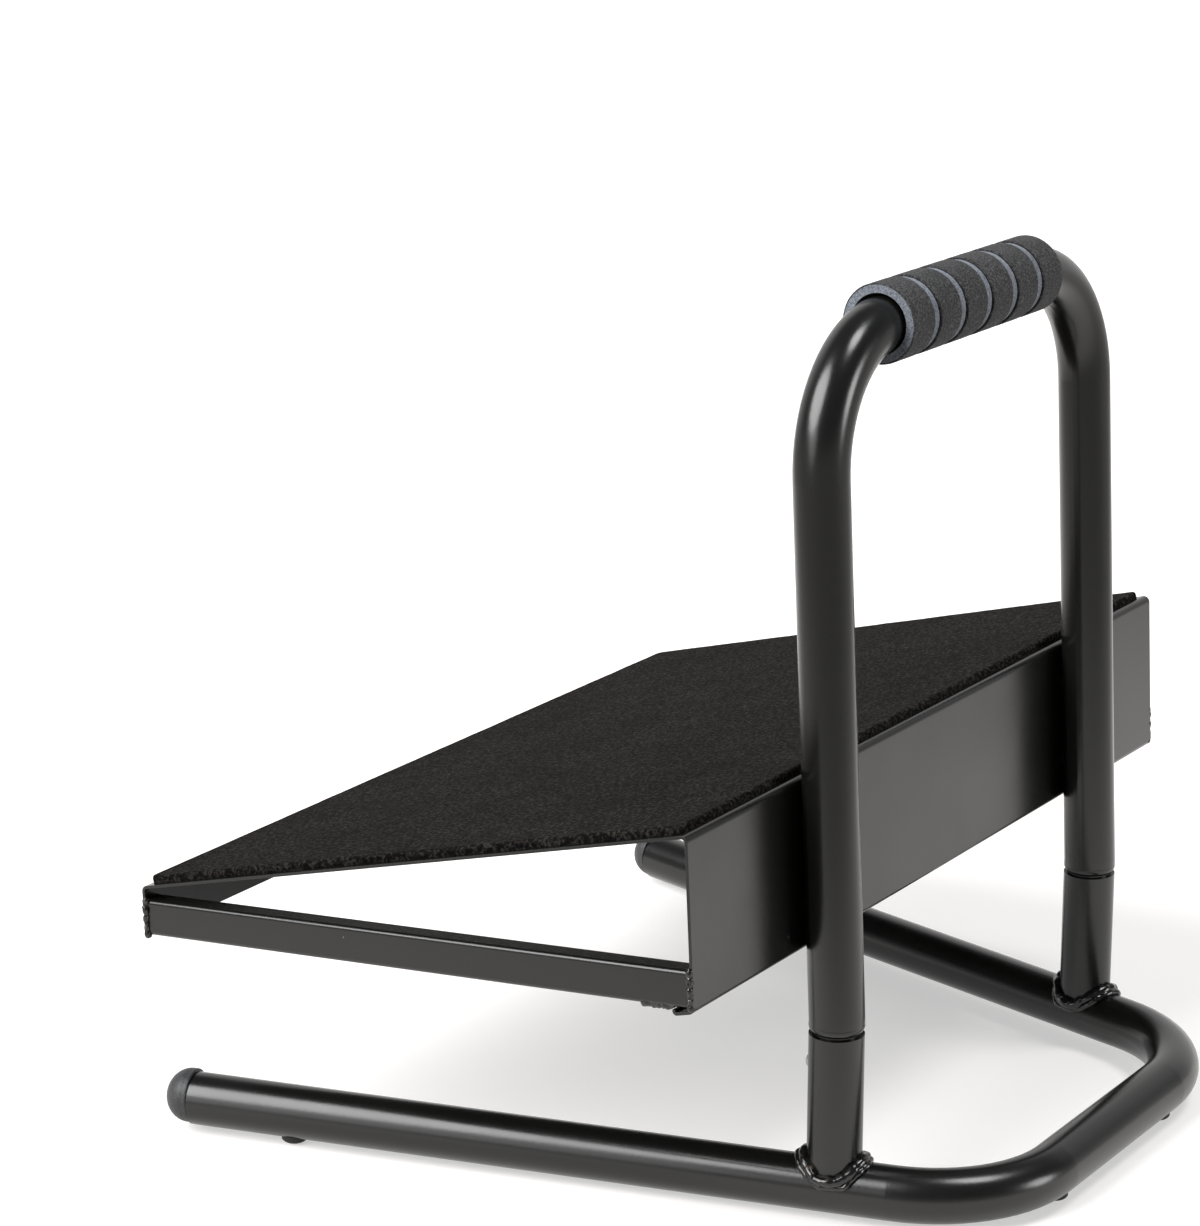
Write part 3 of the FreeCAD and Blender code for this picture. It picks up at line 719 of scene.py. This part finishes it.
# %% A tree that lays a bead along a path
def make_bead_tree():
    values = {
        "Bead Diameter": 5.0 * MM, "Drop Length": 4.0 * MM, "Drop Share": 0.3,
        "Lump Height": 0.8 * MM, "Lump Size": 4.0 * MM, "Sides": 20, "Seed": 0.0,
    }
    tree, given = new_tree("weld_bead", values)
    path = add(tree, "GeometryNodeMeshToCurve", {"Mesh": given["Geometry"]})
    step = add(tree, "ShaderNodeMath", {0: given["Drop Length"], 1: 0.1}, operation="MULTIPLY")
    line = add(tree, "GeometryNodeResampleCurve", {"Curve": path, "Length": step}, mode="LENGTH")
    along = add(tree, "GeometryNodeSplineParameter").outputs["Length"]
    turns = add(tree, "ShaderNodeMath", {0: along, 1: given["Drop Length"]}, operation="DIVIDE")
    uneven = add(tree, "ShaderNodeTexNoise", {"W": turns, "Scale": 0.9, "Detail": 0.0}, noise_dimensions="1D")
    phase = add(tree, "ShaderNodeMath", {0: turns, 1: uneven}, operation="ADD")
    shifted = add(tree, "ShaderNodeMath", {0: phase, 1: given["Seed"]}, operation="ADD")
    saw = add(tree, "ShaderNodeMath", {0: shifted}, operation="FRACT")
    drop = add(tree, "ShaderNodeMath", {0: saw, 1: 0.45}, operation="POWER")
    size = add(tree, "ShaderNodeMath", {0: drop, 1: given["Drop Share"], 2: 0.8}, operation="MULTIPLY_ADD")
    radius = add(tree, "ShaderNodeMath", {0: given["Bead Diameter"], 1: 0.5}, operation="MULTIPLY")
    width = add(tree, "ShaderNodeMath", {0: size, 1: radius}, operation="MULTIPLY")
    rim = add(tree, "GeometryNodeCurvePrimitiveCircle", {"Resolution": given["Sides"], "Radius": 1.0})
    swept = {"Curve": line, "Profile Curve": rim, "Scale": width}
    bead = add(tree, "GeometryNodeCurveToMesh", {**swept, "Fill Caps": True})
    lumpy = roughened(tree, given, bead, "Lump", 1.5)
    end_tree(tree, lumpy, {"Material": given["Material"]})
    return tree


bead_tree = make_bead_tree()
print("bead tree:", len(bead_tree.nodes), "nodes")

# %% [markdown]
# ## Weld rings round the sockets
#
# Each socket is a tube saddled on a tube of the same size. The seam between two such tubes
# rises and falls with the angle round the socket. The welder can't reach the thin skirt at
# its lowest points, so the bead cuts those corners a little higher up, in a U. The ring was
# laid in two passes: a thick strand in the corner and a thinner one on the leg's side of it.
# Each strand has six sizes in millimetres: the bead's diameter, how far it stands out from
# the socket at the leg's sides and on its top, how high its lowest points are cut, its lift
# and how far the welder's hand wanders.

# %% Weld rings
RING_POINTS = 72
RING_BEAD = {"Drop_Length": 7.5 * MM, "Drop_Share": 0.22, "Lump_Height": 2.2 * MM, "Lump_Size": 6 * MM}
STRAND_SIZES = ("bead", "out_side", "out_top", "low", "lift", "wander")
RING_STRANDS = ((5.2, 1.2, 1.2, 7.0, -0.6, 0.3), (3.8, 0.6, 3.6, 5.0, -1.2, 0.8))


def strand_path(side_name, strand, seed):
    """Closed path round a socket that follows its leg's surface, low at the sides."""
    foot = socket_foot(side_name)
    along = leg_direction(side_name)
    across = Vector((along.y, -along.x, 0))
    points = []
    for index in range(RING_POINTS):
        angle = 2 * math.pi * index / RING_POINTS
        level = across * math.cos(angle) + along * math.sin(angle)
        topness = math.sin(angle) ** 2
        drift = noise.noise(Vector((2 * level.x, 2 * level.y, seed))) * strand["wander"] * 2
        reach = TUBE_R + strand["out_side"] * (1 - topness) + strand["out_top"] * topness + drift
        leg_top = math.sqrt(max(0.0, TUBE_R ** 2 - (reach * math.cos(angle)) ** 2))
        rise = math.hypot(leg_top, strand["low"]) + strand["lift"]
        points.append(foot + level * reach + Vector((0, 0, rise)))
    return points


def join_beads(name, beads):
    """One object from several beads, each a closed shell of its own."""
    joined = bmesh.new()
    for bead in beads:
        joined.from_mesh(bead.data)
        bpy.data.objects.remove(bead)
    return new_object(name, plain_mesh(name, joined), weld_coat)


for index, side_name in enumerate(SIDES):
    strands = []
    for number, sizes in enumerate(RING_STRANDS):
        strand = {key: size * MM for key, size in zip(STRAND_SIZES, sizes)}
        seed = 4.0 + 2 * index + number
        path = outline_mesh("seam_" + side_name, strand_path(side_name, strand, seed), closed=True)
        strands.append(grow(
            "ring_strand", path, bead_tree, Bead_Diameter=strand["bead"], Seed=seed,
            Material=weld_coat, **RING_BEAD,
        ))
    ring = join_beads("socket_weld_ring_" + side_name, strands)
    finish_piece(ring, "base", "weld_bead", "socket_weld_" + side_name)

# %% [markdown]
# ## Short beads at the struts
#
# Each strut is held by a bead down its outer side at the heel lip, another at the apron and
# one underneath. The solid beads tell where: their points are sorted into separate beads,
# and each becomes a path on the steel. Both its ends dive in, so that the bead tapers off.

# %% Strut beads
SIDE_BEAD = 3.0 * MM
UNDER_BEAD = 4.4 * MM
BEAD_DIVE = 1.5 * MM
STRUT_TALL = 17.3 * MM
SEAM_STEPS = 6
STRUT_BEAD = {"Drop_Length": 4.2 * MM, "Drop_Share": 0.3, "Lump_Height": 2.2 * MM, "Lump_Size": 2.6 * MM}


def separate_parts(node_name):
    """The points of each separate part of a solid, always in the same order."""
    shape = merged(NODES[node_name].data)
    left, parts = dict.fromkeys(shape.verts), []
    while left:
        waiting, points = [left.popitem()[0]], []
        while waiting:
            vertex = waiting.pop()
            points.append(vertex.co.copy())
            near = [edge.other_vert(vertex) for edge in vertex.link_edges]
            near = [other for other in near if other in left]
            for other in near:
                del left[other]
            waiting.extend(near)
        parts.append(points)
    shape.free()
    return parts


def reach_along(points, direction):
    """Lowest and highest place of some points along a direction."""
    places = [point.dot(direction) for point in points]
    return min(places), max(places)


def strut_seam(points, run, side, outer_x):
    """One bead's path and diameter: down the strut's outer side, or along its underside."""
    low, high = reach_along(points, run)
    bottom, top = reach_along(points, FRAME_UP)
    beneath = high - low > top - bottom
    along, start, end = (run, low, high) if beneath else (FRAME_UP, bottom, top)
    aside = along.cross(X_AXIS)
    near, far = reach_along(points, aside)
    if beneath:
        middle = X_AXIS * (sum(reach_along(points, X_AXIS)) / 2) + aside * near
    else:
        middle = X_AXIS * outer_x + aside * ((near + far) / 2)
    into = -aside if beneath else X_AXIS * -side
    steps = [start + (end - start) * i / SEAM_STEPS for i in range(SEAM_STEPS + 1)]
    line = [middle + along * step for step in steps]
    path = [line[0] + into * BEAD_DIVE, *line, line[-1] + into * BEAD_DIVE]
    return path, UNDER_BEAD if beneath else SIDE_BEAD


def strut_seams(side_name):
    """Paths and diameters of a strut's three beads."""
    side = SIDES[side_name]
    low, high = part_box("strut_" + side_name)
    run = Vector((0, high.y - low.y, STRUT_TALL - (high.z - low.z))).normalized()
    outer_x = high.x if side > 0 else low.x
    parts = separate_parts("strut_welds_" + side_name)
    return [strut_seam(points, run, side, outer_x) for points in parts]


for index, side_name in enumerate(SIDES):
    beads = []
    for number, (points, thickness) in enumerate(strut_seams(side_name)):
        path = outline_mesh("strut_seam", points)
        beads.append(grow(
            "strut_bead", path, bead_tree, Bead_Diameter=thickness, Sides=16,
            Seed=11.0 + number + 3 * index, Material=weld_coat, **STRUT_BEAD,
        ))
    piece = join_beads("strut_beads_" + side_name, beads)
    finish_piece(piece, "upper_frame", "weld_bead", "strut_welds_" + side_name)

# %% [markdown]
# ## End caps
#
# The caps are moulded with a hollow plug that is knocked into the tube. A thin collar stands
# a hair proud of the paint, with a soft edge, and the dome is a flattened half ellipse.

# %% End caps
CAP_R = TUBE_R + 0.3 * MM
CAP_COLLAR = 2.5 * MM
CAP_DOME = 11.5 * MM
CAP_PLUG_R = TUBE_R - TUBE_WALL - 0.1 * MM
CAP_PLUG_BORE = 7.5 * MM
CAP_PLUG_LENGTH = 18 * MM
CAP_EDGE_R = 0.35 * MM
LEG_LENGTH = 316.5 * MM


def dome(radius, base, rise, steps, count):
    """Points of a quarter ellipse, from its rim towards its top."""
    angles = [math.pi / 2 * i / steps for i in range(count)]
    return [(radius * math.cos(a), base + rise * math.sin(a)) for a in angles]


def cap_outline():
    points = [(0, 0), (CAP_PLUG_BORE, 0), (CAP_PLUG_BORE, -CAP_PLUG_LENGTH)]
    points += [(CAP_PLUG_R - CAP_EDGE_R, -CAP_PLUG_LENGTH), (CAP_PLUG_R, CAP_EDGE_R - CAP_PLUG_LENGTH)]
    points += [(CAP_PLUG_R, 0), (CAP_R - CAP_EDGE_R, 0)]
    points += rounded(CAP_R - CAP_EDGE_R, CAP_EDGE_R, CAP_EDGE_R, 180, 90)[1:]
    points += [(CAP_R, CAP_COLLAR * 0.7), (CAP_R - 0.08 * MM, CAP_COLLAR * 0.85)]
    return points + dome(CAP_R, CAP_COLLAR, CAP_DOME, 16, 16) + [(0, CAP_COLLAR + CAP_DOME)]


for index, side_name in enumerate(SIDES):
    end = socket_foot(side_name) + leg_direction(side_name) * LEG_LENGTH
    cap = turned(
        "domed_cap_" + side_name, cap_outline(), end, leg_direction(side_name), None, False,
        Sides=72, Grain_Height=0.08 * MM, Grain_Size=2.5 * MM, Seed=21.0 + index, Material=cap_plastic,
    )
    finish_piece(cap, "base", "cap_plastic", "end_cap_" + side_name)

# %% [markdown]
# ## Copies of one part
#
# The screws and the washers are each one part again and again. Each could be duplicated by
# a loop, but a tree that sets copies on points keeps the part and its places apart. Screws
# are never driven to the same angle, so the tree turns every copy about its own axis by a
# seeded random amount.

# %% A tree that sets copies on points
def make_copies_tree():
    values = {"Aim": (0.0, 0.0, 1.0), "Spin": 0.0, "Seed": 0}
    tree, given = new_tree("copies_on_points", values, objects=("Part",))
    part = add(tree, "GeometryNodeObjectInfo", {"Object": given["Part"]})
    aimed = add(tree, "FunctionNodeAlignRotationToVector", {"Vector": given["Aim"]}, axis="Z")
    chance = {"Max": given["Spin"], "Seed": given["Seed"]}
    spin = add(tree, "FunctionNodeRandomValue", chance, data_type="FLOAT")
    turn = add(tree, "FunctionNodeAxisAngleToRotation", {"Axis": (0.0, 0.0, 1.0), "Angle": spin.outputs[1]})
    both = {"Rotation": aimed, "Rotate By": turn}
    facing = add(tree, "FunctionNodeRotateRotation", both, rotation_space="LOCAL")
    spread = {"Points": given["Geometry"], "Instance": part.outputs["Geometry"]}
    spread["Rotation"] = facing
    copies = add(tree, "GeometryNodeInstanceOnPoints", spread)
    end_tree(tree, copies, {"Material": given["Material"]})
    return tree


copies_tree = make_copies_tree()


def copies(name, part, places, aim, spin, seed, material):
    """Copies of one part at places, all with their local Z along aim."""
    points = bpy.data.meshes.new(name)
    points.from_pydata(places, [], [])
    chance = {"Spin": spin, "Seed": seed}
    made = grow(name, points, copies_tree, Part=part, Aim=tuple(aim), Material=material, **chance)
    bpy.data.objects.remove(part)
    return made


# %% [markdown]
# ## Screws and washers behind the apron
#
# M6 button-head screws hold the apron. The head is turned, and its hexagon is broached: the
# rings of the mesh change from round to six-sided at the key's rim, then go straight down.

# %% Screws and washers
HEAD_R = 5.25 * MM
HEAD_HEIGHT = 3.3 * MM
KEY_R = 2.3 * MM
KEY_DEPTH = 2.0 * MM
SCREW_R = 3.0 * MM
SCREW_LENGTH = 14 * MM
WASHER_R = 7.0 * MM
WASHER_T = 1.2 * MM
SCREW_SIDES = 48


def hexagon_radius(angle):
    """Radius of a hexagon with corners at KEY_R, in a direction."""
    sector = math.pi / 3
    return KEY_R * math.cos(sector / 2) / math.cos(angle % sector - sector / 2)


def make_screw():
    """A button-head screw along local Z, its head's seat at zero."""
    rings = [(SCREW_R * 0.8, -SCREW_LENGTH), (SCREW_R, 0.6 * MM - SCREW_LENGTH), (SCREW_R, 0)]
    rings += [(HEAD_R * 0.97, 0), *dome(HEAD_R, HEAD_HEIGHT * 0.12, HEAD_HEIGHT * 0.88, 10, 8)]
    rings += [(KEY_R * 1.25, HEAD_HEIGHT * 0.985)]
    key = [(1.06, HEAD_HEIGHT * 0.985), (1, HEAD_HEIGHT * 0.95), (1, HEAD_HEIGHT - KEY_DEPTH)]
    shape = bmesh.new()
    loops = []
    for number, (radius, height) in enumerate(rings + key):
        loop = []
        for index in range(SCREW_SIDES):
            angle = 2 * math.pi * index / SCREW_SIDES
            reach = radius * (hexagon_radius(angle) if number >= len(rings) else 1)
            loop.append(shape.verts.new((reach * math.cos(angle), reach * math.sin(angle), height)))
        loops.append(loop)
    for low, high in zip(loops, loops[1:]):
        for index in range(SCREW_SIDES):
            after = (index + 1) % SCREW_SIDES
            shape.faces.new([low[index], low[after], high[after], high[index]])
    shape.faces.new(loops[0][::-1])
    shape.faces.new(loops[-1])
    return new_object("button_screw", plain_mesh("button_screw", shape))


def washer_places():
    """Centres of the washers' seats, each read from one washer's own vertices."""
    found = {}
    for vertex in NODES["plate_washers"].data.vertices:
        key = (vertex.co.x > 0, vertex.co.z > (cad_high.z + cad_low.z) * 0.4)
        found.setdefault(key, []).append(vertex.co)
    places = []
    for points in found.values():
        seat = sum(points, Vector()) / len(points)
        places.append(seat - APRON_IN * WASHER_T / 2)
    return places


seats = washer_places()
screws = copies(
    "button_screws", make_screw(), [seat + APRON_IN * WASHER_T for seat in seats],
    APRON_IN, 2 * math.pi, 7, zinc_plate,
)
finish_piece(screws, "upper_frame", "bare_steel", "plate_screws")
bevel = 0.15 * MM
hole = SCREW_R + 0.3 * MM
washer_outline = [(hole, 0), (WASHER_R - bevel, 0), (WASHER_R, bevel), (WASHER_R, WASHER_T - bevel)]
washer_outline += [(WASHER_R - bevel, WASHER_T), (hole, WASHER_T)]
washer = turned("washer", washer_outline, Vector(), Vector((0, 0, 1)), None, True, Sides=48)
washers = copies("flat_washers", washer, seats, APRON_IN, 0.0, 0, zinc_plate)
finish_piece(washers, "upper_frame", "bare_steel", "plate_washers")
print("screw seats:", [[round(v / MM, 1) for v in seat] for seat in seats])

# %% [markdown]
# ## The studio floor
#
# A product studio has a pale floor under soft light. A glossy black coat shows mostly what
# it mirrors, so the floor and the room matter as much as the lamps. Here a pool of light is
# painted into the floor: its paint and its glow are brightest round the footrest, the pool
# widens behind it, and both fall off gently with the distance from it. A plain white plane
# would be simpler, but the coat would mirror it and turn grey.

# %% Floor
FLOOR_HALF = 9.0
FLOOR_DROP = 0.3 * MM
FLOOR_PAINT = linear("#c6c3c0")
FLOOR_GLOW = 0.5
BACK_OF_ROOM = Vector((0.838, 0.547, 0))
SIDE_OF_ROOM = Vector((0.547, -0.838, 0))
POOL_SIDE = 0.15
POOL_WIDENS = 0.2
SIDE_SHARE = 0.8
# The painted pool of light: between these distances from the pool, the floor's paint and glow fall to these
# shares.
PAINTED_POOL_FADE_FROM = 0.18
PAINTED_POOL_FADE_TO = 1.0
PAINTED_POOL_FAR_PAINT = 0.4
PAINTED_POOL_FAR_GLOW = 0.18


def distance_from_pool(tree, place):
    """Distance to the side and to the front; behind the footrest the pool of light widens."""
    to_front, to_side = {0: place, 1: -BACK_OF_ROOM}, {0: place, 1: SIDE_OF_ROOM}
    ahead = add(tree, "ShaderNodeVectorMath", to_front, operation="DOT_PRODUCT").outputs[1]
    aside = add(tree, "ShaderNodeVectorMath", to_side, operation="DOT_PRODUCT").outputs[1]
    width = add(tree, "ShaderNodeMath", {0: aside}, operation="ABSOLUTE")
    front = add(tree, "ShaderNodeMath", {0: ahead, 1: 0.0}, operation="MAXIMUM")
    behind = add(tree, "ShaderNodeMath", {0: ahead, 1: 0.0}, operation="MINIMUM")
    wedge = add(tree, "ShaderNodeMath", {0: behind, 1: POOL_WIDENS, 2: width}, operation="MULTIPLY_ADD")
    outside = add(tree, "ShaderNodeMath", {0: wedge, 1: POOL_SIDE}, operation="SUBTRACT", use_clamp=True)
    gentle = add(tree, "ShaderNodeMath", {0: outside, 1: SIDE_SHARE}, operation="MULTIPLY")
    both = add(tree, "ShaderNodeCombineXYZ", {0: front, 1: gentle})
    return add(tree, "ShaderNodeVectorMath", {0: both}, operation="LENGTH").outputs[1]


def make_floor():
    matt = {"Roughness": 0.9, "Specular IOR Level": 0.1, "Emission Color": linear("#ffffff")}
    paint, tree, shader, place = new_material("pale_floor_paint", matt)
    # Painted light: the floor's paint and glow are brightest round the footrest and fall off with the
    # distance from it, a pool of light painted into the floor.
    painted_pool_fade = {0: distance_from_pool(tree, place), 1: PAINTED_POOL_FADE_FROM, 2: PAINTED_POOL_FADE_TO}
    base = add(tree, "ShaderNodeMapRange", {**painted_pool_fade, 3: 1.0, 4: PAINTED_POOL_FAR_PAINT}, interpolation_type="SMOOTHSTEP")
    painted = {0: 1.0, 6: FLOOR_PAINT, 7: base}
    painted_pool_colour = add(tree, "ShaderNodeMix", painted, data_type="RGBA", blend_type="MULTIPLY")
    ray = add(tree, "ShaderNodeLightPath").outputs
    seen = ray["Is Camera Ray"]
    for kind in ("Is Glossy Ray", "Is Transmission Ray"):
        seen = add(tree, "ShaderNodeMath", {0: seen, 1: ray[kind]}, operation="MAXIMUM")
    levels = {3: FLOOR_GLOW, 4: FLOOR_GLOW * PAINTED_POOL_FAR_GLOW}
    level = add(tree, "ShaderNodeMapRange", {**painted_pool_fade, **levels}, interpolation_type="SMOOTHSTEP")
    glow = add(tree, "ShaderNodeMath", {0: seen, 1: level}, operation="MULTIPLY")
    feed(tree, shader, {"Base Color": painted_pool_colour.outputs[2], "Emission Strength": glow})
    mesh = bpy.data.meshes.new("floor")
    signs = ((-1, -1), (1, -1), (1, 1), (-1, 1))
    corners = [(x * FLOOR_HALF, y * FLOOR_HALF, -FLOOR_DROP) for x, y in signs]
    mesh.from_pydata(corners, [], [(0, 1, 2, 3)])
    return new_object("floor", mesh, paint)


make_floor()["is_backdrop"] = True
print("floor:", 2 * FLOOR_HALF, "m across")

# %% [markdown]
# ## The room and its lamps
#
# The wall behind the footrest is bright, so that its outline stands out. Elsewhere the room
# is as pale as the far floor at the horizon and dims above it, which keeps the tubes dark.
# Walls could be built and lit, but a world colour that depends on the direction does the
# same without noise. A tall softbox with a weak one under it at the heel end, and two small
# ones at the toe end, draw the long highlights. A sun lamp with a wide angle is a softbox
# far away: its direction is where the light comes from.

# %% Room and lamps
BACKDROP = linear("#f6f6f5")
HORIZON = linear("#c7c5c3")
DIM_ROOM = linear("#6a6b6e")
ROOM_RAMPS = {"top": {1: 0.5, 2: 0.75, 3: 1.0, 4: 0.0}, "ahead": {1: 0.2, 2: 0.8}, "rise": {1: 0.0, 2: 0.3}}
LAMPS = {
    "heel_softbox": ((-0.63, 0.40, 0.67), 44, 4.8),
    "heel_softbox_low": ((-0.93, 0.22, 0.29), 28, 0.45),
    "toe_softbox_low": ((0.34, -0.91, 0.23), 20, 0.95),
    "toe_softbox_high": ((0.14, -0.28, 0.95), 21, 1.35),
}


def make_room():
    world = bpy.data.worlds.new("studio")
    bpy.context.scene.world = world
    world.use_nodes = True
    tree = world.node_tree
    direction = add(tree, "ShaderNodeTexCoord").outputs["Generated"]
    split = add(tree, "ShaderNodeSeparateXYZ", {0: direction})
    ahead = add(tree, "ShaderNodeVectorMath", {0: direction, 1: BACK_OF_ROOM}, operation="DOT_PRODUCT")
    shares = {}
    for name, source in (("top", split.outputs[2]), ("ahead", ahead.outputs[1]), ("rise", split.outputs[2])):
        ramp = {0: source, **ROOM_RAMPS[name]}
        made = add(tree, "ShaderNodeMapRange", ramp, interpolation_type="SMOOTHSTEP")
        shares[name] = made
    share = add(tree, "ShaderNodeMath", {0: shares["top"], 1: shares["ahead"]}, operation="MULTIPLY")
    dim = add(tree, "ShaderNodeMix", {0: shares["rise"], 6: HORIZON, 7: DIM_ROOM}, data_type="RGBA")
    colour = add(tree, "ShaderNodeMix", {0: share, 6: dim.outputs[2], 7: BACKDROP}, data_type="RGBA")
    feed(tree, tree.nodes["Background"], {"Color": colour.outputs[2], "Strength": 1.0})


make_room()
for name, (direction, spread, strength) in LAMPS.items():
    lamp = bpy.data.lights.new(name, "SUN")
    lamp.angle = math.radians(spread)
    lamp.energy = strength
    new_object(name, lamp).rotation_euler = Vector(direction).to_track_quat("Z", "Y").to_euler()
print("lamps:", ", ".join(LAMPS))

# %% [markdown]
# ## The camera
#
# The camera's place, aim and focal length were fitted to the edges of the tubes and the
# plate in the photograph, with the tube's diameter as the ruler. The focal length came out
# in the photograph's pixels, so the lens is worked out from it. The Standard view transform
# shows each colour as it was picked.

# %% Camera
IMAGE_HEIGHT = 1226
FOCAL_PIXELS = 3773.24
CAMERA_PLACE = Vector((-1507.9, -890.88, 730.05)) * MM
CAMERA_TARGET = Vector((0, 94.35, 222.28)) * MM
camera_data = bpy.data.cameras.new("camera")
camera_data.lens = FOCAL_PIXELS * camera_data.sensor_width / IMAGE_HEIGHT
camera_data.clip_end = 50
camera = new_object("camera", camera_data)
camera.location = CAMERA_PLACE
camera.rotation_euler = (CAMERA_TARGET - CAMERA_PLACE).to_track_quat("-Z", "Y").to_euler()
bpy.context.scene.camera = camera
bpy.context.scene.view_settings.view_transform = "Standard"
print("lens:", round(camera_data.lens, 1), "mm")

# %% [markdown]
# ## Last check
#
# The dressed footrest has to be as big as the solids it stands for, so both boxes are
# measured and how far the dressed one reaches past the solids is printed.

# %% Check the size
low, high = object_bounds()
sizes = {"cad": [list(cad_low), list(cad_high)], "visual": [list(low), list(high)]}
print("grown by, mm:", [round(v / MM, 1) for v in (*(cad_low - low), *(high - cad_high))])
